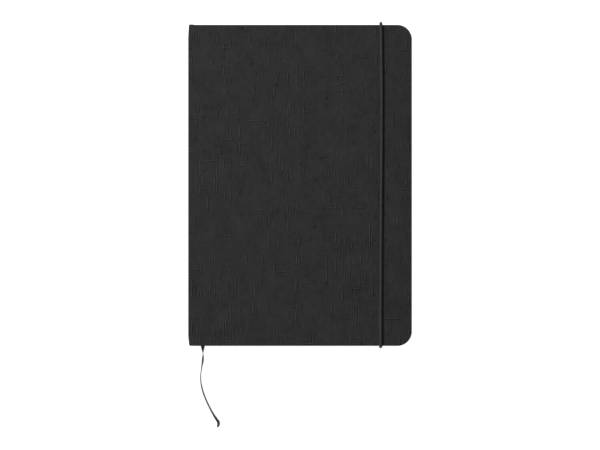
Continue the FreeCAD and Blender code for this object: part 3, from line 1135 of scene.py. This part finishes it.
slub_threads = make_slubs()
print(slub_threads.name, "has", len(slub_threads.nodes), "nodes")

# %% [markdown]
# ## Knots
#
# Here and there a thread carries a small knot of tangled fibre. Voronoi cells scatter points with no
# clumps, and some of them get a knot: a little hill, darker than the cloth because it stands loose,
# longer along the warp, each of its own size. A little noise makes its outline ragged.

# %% Knot group
RAGGED = (0.2, 0.2, 0.2)


def make_knots():
    inputs = {"Across warp": 0.0, "Across weft": 0.0, "Spacing": 0.008, "Kept": 0.28}
    group, source, result = new_group("cloth_knots", inputs, ["Height", "Shade"])
    x = divided(source["Across warp"], source["Spacing"])
    y = divided(source["Across weft"], times(source["Spacing"], 1.7))
    place = flat_place(x, y)
    noise = add(group, "TexNoise", {"Vector": place, "Scale": 9.0}).outputs["Color"]
    place = add(group, "VectorMath", {0: noise, 1: RAGGED, 2: place}, operation="MULTIPLY_ADD").outputs[0]
    cells = add(group, "TexVoronoi", {"Vector": place, "Scale": 1.0}, voronoi_dimensions="2D").outputs
    own_value = add(group, "SeparateColor", {"Color": cells["Color"]}).outputs[0]
    chosen = calc("LESS_THAN", own_value, source["Kept"])
    size = plus(times(own_value, 0.35), 0.06)
    hill = minus(1.0, step_up(divided(cells["Distance"], size), 0.0, 1.0))
    feed(result, "Height", times(hill, chosen))
    feed(result, "Shade", times(times(hill, -0.7), chosen))
    return group


cloth_knots = make_knots()
print(cloth_knots.name, "has", len(cloth_knots.nodes), "nodes")

# %% [markdown]
# ## Black book cloth
#
# The cloth is dyed linen filled with starch, so it is matt, and the weave paints its dips only a little
# darker than its threads, which is painted shade. Its relief adds up the weave, two sizes of warp slubs and
# the fewer weft slubs, and the same slubs paint the colour: a thick thread takes less dye and is lighter,
# and the dark lines at its sides are painted shade in the dips.
# Slow noise mottles the sheet as the filling does. Slubs crowd a little more towards the tail, and
# they are rarer in the strip beyond the elastic.

# %% Book cloth
CLOTH_DARK = (0.0075, 0.0075, 0.0076)
CLOTH_LIGHT = (0.0405, 0.0405, 0.0407)
CLOTH_RELIEF = 0.17 * MM
CLOUD = (11.0 * MM, 15.0 * MM)
PATCH = (2.8 * MM, 5.0 * MM)
CROWDING = -0.1                # for each metre from the middle towards the head
CALM_STRIP = (50.0 * MM, 60.0 * MM)
# Across, along, width and length of the slubs in millimetres, how rare they are, and their strength.
SLUB_KINDS = [
    ("warp", "weft", 1.5, 11.0, 0.615, 1.6),
    ("warp", "weft", 1.8, 15.0, 0.645, 1.15),
    ("weft", "warp", 1.4, 11.0, 0.655, 1.6),
]


def book_cloth_material():
    material, tree, shader = new_material("black_book_cloth", 0.06)
    warp, weft = place_group(tree, cloth_directions)[:2]
    directions = {"warp": warp, "weft": weft}
    weave = place_group(tree, plain_weave, Across_warp=warp, Across_weft=weft)[0]
    crowding = minus(times(weft, CROWDING), times(step_up(warp, *CALM_STRIP), 0.02))
    relief = times(weave, 0.55)
    # Painted shade: the dips of the weave are painted a little darker than the backs of its threads.
    shade = times(weave, 0.1)
    for across, along, width, length, rarity, strength in SLUB_KINDS:
        slubs = place_group(
            tree, slub_threads, Across=directions[across], Along=directions[along],
            Width=width * MM, Length=length * MM, Rarity=minus(rarity, crowding),
        )
        # Each slub paints its thread lighter, with painted shade in the dips at its sides.
        relief = plus(relief, times(slubs[0], strength))
        shade = plus(shade, times(slubs[1], 0.28 * strength))
    knots = place_group(tree, cloth_knots, Across_warp=warp, Across_weft=weft)
    relief = plus(relief, times(knots[0], 1.2))
    shade = plus(shade, times(knots[1], 0.5))
    bump(shader, relief, CLOTH_RELIEF)

    clouds = stretched_noise(divided(warp, CLOUD[0]), divided(weft, CLOUD[1]), 3.0)
    patches = stretched_noise(divided(warp, PATCH[0]), divided(weft, PATCH[1]), 2.0)
    mottle = plus(plus(times(clouds, 0.3), times(patches, 0.26)), 0.17)
    paint(shader, plus(mottle, shade), CLOTH_DARK, CLOTH_LIGHT)
    feed(shader, "Roughness", minus(0.86, times(relief, 0.16)))
    return material


dress(book_cloth_material(), *case_cloth)

# %% [markdown]
# ## Braided elastic
#
# The elastic's sheath is braided from fine dull threads that cross at a steep angle. On its UV map one
# direction runs round the cord and the other along it, in metres, so two families of slanting lines,
# each a sine, give the lozenges of a braid in their real size.

# %% Elastic
BRAIDS_ROUND = 12
BRAID_STEP = 0.8 * MM


def braid_height(tree):
    place = parts_of(add(tree, "TexCoord").outputs["UV"])
    along = divided(place[0], BRAID_STEP)
    round_it = times(place[1], BRAIDS_ROUND)
    waves = []
    for direction in (1.0, -1.0):
        slant = plus(along, times(round_it, direction))
        waves.append(calc("SINE", times(slant, math.pi)))
    return size_of(times(waves[0], waves[1]))


def elastic_material():
    material, tree, shader = new_material("braided_elastic", 0.42)
    braid = braid_height(tree)
    place = add(tree, "TexCoord").outputs["Object"]
    fibres = add(tree, "TexNoise", {"Vector": place, "Scale": 5000.0, "Detail": 2.0}).outputs[0]
    relief = plus(times(braid, 0.8), times(fibres, 0.2))
    bump(shader, relief, 0.12 * MM)
    # Painted shade: the braid's grooves are painted darker than the backs of its threads.
    paint(shader, relief, (0.006,) * 3, (0.024,) * 3)
    feed(shader, "Roughness", minus(0.62, times(braid, 0.16)))
    return material


dress(elastic_material(), elastic)

# %% [markdown]
# ## Satin ribbon
#
# Satin floats its warp threads over many wefts, so the face is all fine lengthwise lines and shines
# across them. The UV map runs along the strip in one direction and round its section in the other.
# Many lines round the section and small ticks along it give the sheen its streaks in the relief. Slow noise
# paints lighter patches on the black: a painted sheen.

# %% Ribbon
def ribbon_material():
    material, tree, shader = new_material("black_satin", 0.12)
    place = parts_of(add(tree, "TexCoord").outputs["UV"])
    lines = size_of(calc("SINE", times(place[1], 60 * math.pi)))
    ticks = size_of(calc("SINE", times(place[0], 130 * math.pi)))
    relief = plus(times(lines, 0.8), times(ticks, 0.2))
    bump(shader, relief, 0.02 * MM)
    # Painted sheen: slow noise along the strip paints lighter and darker patches on the black satin.
    painted_sheen = stretched_noise(times(place[0], 20.0), times(place[1], 40.0))
    paint(shader, painted_sheen, (0.012,) * 3, (0.03,) * 3)
    feed(shader, "Roughness", plus(0.38, times(relief, 0.14)))
    return material


dress(ribbon_material(), ribbon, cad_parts["ribbon_in_pages"])

# %% [markdown]
# ## Paper
#
# The leaves and the endpapers are the same ivory stock. On a sheet only a faint cloudiness shows. On
# the trimmed edge each leaf takes its own tone: white noise counted in leaves along the height does
# that, so the tones fall on the modelled edges exactly. Both use one group for the cloudiness.

# %% Paper
IVORY_DARK = (0.62, 0.57, 0.46)
IVORY_LIGHT = (0.84, 0.80, 0.70)


def make_paper_clouds():
    group, source, result = new_group("paper_clouds", {"Size": 0.006}, ["Cloud", "Fibre"])
    place = add(group, "TexCoord").outputs["Object"]
    for name, scale, detail in (("Cloud", divided(1.0, source["Size"]), 3.0), ("Fibre", 2600.0, 2.0)):
        noise = add(group, "TexNoise", {"Vector": place, "Scale": scale, "Detail": detail})
        feed(result, name, noise.outputs[0])
    return group


paper_clouds = make_paper_clouds()


def leaf_edge_material():
    material, tree, shader = new_material("trimmed_leaves", 0.25)
    cloud, fibre = place_group(tree, paper_clouds)[:2]
    height = parts_of(add(tree, "TexCoord").outputs["Object"])[2]
    count = calc("FLOOR", divided(minus(height, block_low[2]), leaf_pitch))
    own_tone = add(tree, "TexWhiteNoise", {"W": count}, noise_dimensions="1D").outputs[0]
    tone = plus(times(own_tone, 0.4), times(cloud, 0.6))
    paint(shader, tone, IVORY_DARK, IVORY_LIGHT)
    feed(shader, "Roughness", plus(0.7, times(fibre, 0.2)))
    bump(shader, fibre, 0.03 * MM)
    return material


def endpaper_material():
    material, tree, shader = new_material("ivory_endpaper", 0.3)
    cloud, fibre = place_group(tree, paper_clouds, Size=0.02)[:2]
    tone = plus(0.55, times(plus(cloud, fibre), 0.3))
    paint(shader, tone, IVORY_DARK, IVORY_LIGHT)
    feed(shader, "Roughness", plus(0.6, times(fibre, 0.2)))
    bump(shader, fibre, 0.015 * MM)
    return material


dress(leaf_edge_material(), leaves)
sheets = ("front_flyleaf", "back_flyleaf", "front_pastedown", "back_pastedown")
dress(endpaper_material(), *endpaper_folds, *(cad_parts[name] for name in sheets))

# %% [markdown]
# ## Board, lining and end bands
#
# Mill board is pressed from waste paper: grey, with darker and lighter flecks. The lining is plain
# brown paper, and the end bands are off-white cotton thread wound over a cord. Most of this is only
# seen when the book is opened or held by its end.

# %% Hidden materials
THREAD_PITCH = 0.6 * MM


def flecked_material(name, dark, light, rough, fleck):
    material, tree, shader = new_material(name, 0.2)
    cloud, fibre = place_group(tree, paper_clouds, Size=fleck)[:2]
    tone = times(plus(cloud, fibre), 0.5)
    paint(shader, step_up(tone, 0.3, 0.7), dark, light)
    feed(shader, "Roughness", plus(rough, times(fibre, 0.1)))
    bump(shader, fibre, 0.04 * MM)
    return material


grey_board = flecked_material("grey_mill_board", (0.16, 0.155, 0.14), (0.36, 0.35, 0.32), 0.8, 0.0015)
kraft_lining = flecked_material("kraft_lining", (0.30, 0.19, 0.10), (0.44, 0.31, 0.18), 0.75, 0.003)


def thread_material():
    """Cotton thread wound round the cord: one rounded rib to each turn, with painted shade as a dark line
    in the groove between.
    """
    material, tree, shader = new_material("band_cotton", 0.2)
    height = parts_of(add(tree, "TexCoord").outputs["Object"])[2]
    turns = times(height, math.pi / THREAD_PITCH)
    rib = calc("POWER", size_of(calc("SINE", turns)), 0.6)
    fibre = place_group(tree, paper_clouds)[1]
    # Painted shade: the groove between two turns of thread is painted dark.
    tone = plus(times(rib, 0.8), times(fibre, 0.2))
    paint(shader, tone, (0.2, 0.19, 0.17), (0.82, 0.8, 0.74))
    feed(shader, "Roughness", plus(0.6, times(fibre, 0.2)))
    bump(shader, tone, 0.12 * MM)
    return material


dress(grey_board, *case_boards)
dress(kraft_lining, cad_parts["spine_lining"])
dress(thread_material(), *end_bands)
print("materials:", sorted(material.name for material in bpy.data.materials if material.use_nodes))

# %% [markdown]
# ## Floor and light
#
# The table is a plain white sheet with a little light of its own, as a lit sweep has in a studio, so
# shadows on it stay soft. It lies a hair under the book and is clear from behind, so the back cover can
# be looked at from below. The light is a large soft lamp high on the left, which draws a bright line
# on one side of the round elastic and a dark one on the other, and an even pale surround that fills
# the rest.

# %% Floor and light
bpy.ops.mesh.primitive_plane_add(size=6.0, location=(0.0, 0.0, -0.05 * MM))
floor = bpy.context.object
floor.name = "floor"

white_sheet, tree, shader = new_material("white_sheet", 0.1)
for socket, value in (
    ("Base Color", (0.3, 0.3, 0.3, 1.0)),
    ("Roughness", 0.9),
    ("Emission Color", (1.0, 1.0, 1.0, 1.0)),
    ("Emission Strength", 0.94),
):
    shader.inputs[socket].default_value = value
feed(shader, "Alpha", minus(1.0, add(tree, "NewGeometry").outputs["Backfacing"]))
dress(white_sheet, floor)

surround = bpy.data.worlds.new("surround")
surround.use_nodes = True
background = surround.node_tree.nodes["Background"]
background.inputs["Color"].default_value = (1.0, 1.0, 1.0, 1.0)
background.inputs["Strength"].default_value = 0.35
bpy.context.scene.world = surround

lamp = bpy.data.lights.new("key", "AREA")
lamp.shape = "DISK"
lamp.size = 0.45
lamp.energy = 29.0
lamp_stand = bpy.data.objects.new("key", lamp)
lamp_stand.location = (-0.95, 0.6, 1.25)
lamp_stand.rotation_euler = (-lamp_stand.location).to_track_quat("-Z", "Y").to_euler()
bpy.context.collection.objects.link(lamp_stand)
bpy.context.scene.view_settings.view_transform = "Standard"
print(f"lamp {lamp_stand.location.length:.2f} m from the book")
